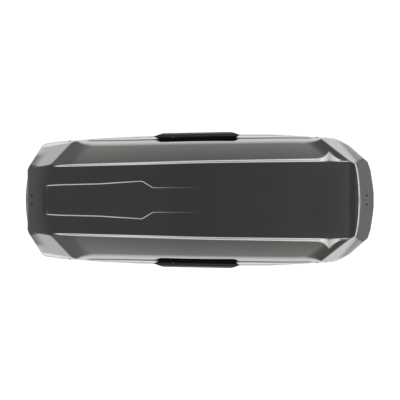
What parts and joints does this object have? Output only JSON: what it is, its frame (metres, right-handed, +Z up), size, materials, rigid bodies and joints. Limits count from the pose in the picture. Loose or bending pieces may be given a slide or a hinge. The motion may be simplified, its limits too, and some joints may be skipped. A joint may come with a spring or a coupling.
{
  "type": "roof cargo box",
  "caption": "Long low car roof box with a faceted grey lid that opens from either side, black side handles, a load tray and clamps for two roof bars.",
  "frame": {"origin": "on the ground plane under the middle of the box, at the bottoms of the clamp claws", "axes": "+X towards the rear, +Y towards the left side, +Z up"},
  "size_m": [2.2, 0.8598, 0.432],
  "materials": {
    "lid": "titanium grey, satin gloss",
    "tray": "black, fine grain",
    "trim": "black moulded",
    "grip": "black moulded, satin",
    "liner": "dark grey stiffener",
    "rubber": "matt",
    "steel": "zinc plated",
    "claw": "black powder coat",
    "pin": "bright",
    "lock": "plated",
    "fastener": "black",
    "webbing": "woven black strap"
  },
  "bodies": {
    "base": {"tray": "tray", "rim_trim": "rubber", "floor_mat": "rubber", "clamp_plates": "steel", "clamp_fixed_claws": "claw", "clamp_housings": "trim", "clamp_pads": "rubber", "cargo_straps": "webbing", "strap_anchors": "trim", "strap_buckles": "trim", "pin_cups_left": "claw", "latch_guides_left": "trim", "lock_bush_left": "lock", "pin_cups_right": "claw", "latch_guides_right": "trim", "lock_bush_right": "lock"},
    "right_pivot": {"pivot_pins_right": "pin"},
    "lid": {"lid_shell": "lid", "lid_rivets": "fastener", "lid_rail_left": "steel", "lid_rail_right": "steel", "lid_hoop_front": "liner", "lid_hoop_middle": "liner", "lid_hoop_rear": "liner", "nose_lip": "trim", "pivot_pins_left": "pin", "pin_ears_left": "trim", "pin_ears_right": "trim", "grip_ears_left": "trim", "grip_ears_right": "trim", "grip_pins_left": "pin", "grip_pins_right": "pin"},
    "grip_left": {"side_grip_left": "grip"},
    "latch_left": {"latch_bar_left": "steel"},
    "lock_left": {"lock_barrel_left": "lock"},
    "grip_right": {"side_grip_right": "grip"},
    "latch_right": {"latch_bar_right": "steel"},
    "lock_right": {"lock_barrel_right": "lock"},
    "knob_front_left": {"clamp_knob_front_left": "trim", "clamp_screw_front_left": "pin"},
    "claw_front_left": {"clamp_claw_front_left": "claw"},
    "knob_front_right": {"clamp_knob_front_right": "trim", "clamp_screw_front_right": "pin"},
    "claw_front_right": {"clamp_claw_front_right": "claw"},
    "knob_rear_left": {"clamp_knob_rear_left": "trim", "clamp_screw_rear_left": "pin"},
    "claw_rear_left": {"clamp_claw_rear_left": "claw"},
    "knob_rear_right": {"clamp_knob_rear_right": "trim", "clamp_screw_rear_right": "pin"},
    "claw_rear_right": {"clamp_claw_rear_right": "claw"}
  },
  "joints": [
    {"name": "lid_opens_from_right", "type": "hinge", "parent": "base", "child": "right_pivot", "pos_m": [0.09, 0.396, 0.168], "axis": [-1, 0, 0], "range_deg": [0, 55]},
    {"name": "lid_opens_from_left", "type": "hinge", "parent": "right_pivot", "child": "lid", "pos_m": [0.09, -0.396, 0.168], "axis": [1, 0, 0], "range_deg": [0, 55]},
    {"name": "grip_pull_left", "type": "hinge", "parent": "lid", "child": "grip_left", "pos_m": [0.25, 0.38481, 0.3572], "axis": [0.9997, 0.0194, 0.0132], "range_deg": [0, 25]},
    {"name": "lock_turn_left", "type": "hinge", "parent": "base", "child": "lock_left", "pos_m": [0.21, 0.385, 0.14], "axis": [0, 1, 0], "range_deg": [0, 90]},
    {"name": "latch_slide_left", "type": "slide", "parent": "base", "child": "latch_left", "axis": [1, 0, 0], "range_m": [0, 0.02]},
    {"name": "grip_pull_right", "type": "hinge", "parent": "lid", "child": "grip_right", "pos_m": [0.25, -0.38481, 0.3572], "axis": [-0.9997, 0.0194, -0.0132], "range_deg": [0, 25]},
    {"name": "lock_turn_right", "type": "hinge", "parent": "base", "child": "lock_right", "pos_m": [0.21, -0.385, 0.14], "axis": [0, 1, 0], "range_deg": [0, 90]},
    {"name": "latch_slide_right", "type": "slide", "parent": "base", "child": "latch_right", "axis": [1, 0, 0], "range_m": [0, 0.02]},
    {"name": "clamp_screw_front_left", "type": "hinge", "parent": "base", "child": "knob_front_left", "pos_m": [-0.32, 0.25, 0.091], "axis": [1, 0, 0], "range_deg": [0, 1440]},
    {"name": "clamp_claw_front_left", "type": "slide", "parent": "base", "child": "claw_front_left", "axis": [-1, 0, 0], "range_m": [0, 0.012]},
    {"name": "clamp_screw_front_right", "type": "hinge", "parent": "base", "child": "knob_front_right", "pos_m": [-0.32, -0.25, 0.091], "axis": [1, 0, 0], "range_deg": [0, 1440]},
    {"name": "clamp_claw_front_right", "type": "slide", "parent": "base", "child": "claw_front_right", "axis": [-1, 0, 0], "range_m": [0, 0.012]},
    {"name": "clamp_screw_rear_left", "type": "hinge", "parent": "base", "child": "knob_rear_left", "pos_m": [0.38, 0.25, 0.091], "axis": [1, 0, 0], "range_deg": [0, 1440]},
    {"name": "clamp_claw_rear_left", "type": "slide", "parent": "base", "child": "claw_rear_left", "axis": [-1, 0, 0], "range_m": [0, 0.012]},
    {"name": "clamp_screw_rear_right", "type": "hinge", "parent": "base", "child": "knob_rear_right", "pos_m": [0.38, -0.25, 0.091], "axis": [1, 0, 0], "range_deg": [0, 1440]},
    {"name": "clamp_claw_rear_right", "type": "slide", "parent": "base", "child": "claw_rear_right", "axis": [-1, 0, 0], "range_m": [0, 0.012]}
  ],
  "couplings": [
    {"joint": "lock_turn_left", "follows": "latch_slide_left", "rad_per_m": 78.54},
    {"joint": "lock_turn_right", "follows": "latch_slide_right", "rad_per_m": 78.54},
    {"joint": "clamp_screw_front_left", "follows": "clamp_claw_front_left", "rad_per_m": 2094.4},
    {"joint": "clamp_screw_front_right", "follows": "clamp_claw_front_right", "rad_per_m": 2094.4},
    {"joint": "clamp_screw_rear_left", "follows": "clamp_claw_rear_left", "rad_per_m": 2094.4},
    {"joint": "clamp_screw_rear_right", "follows": "clamp_claw_rear_right", "rad_per_m": 2094.4}
  ]
}
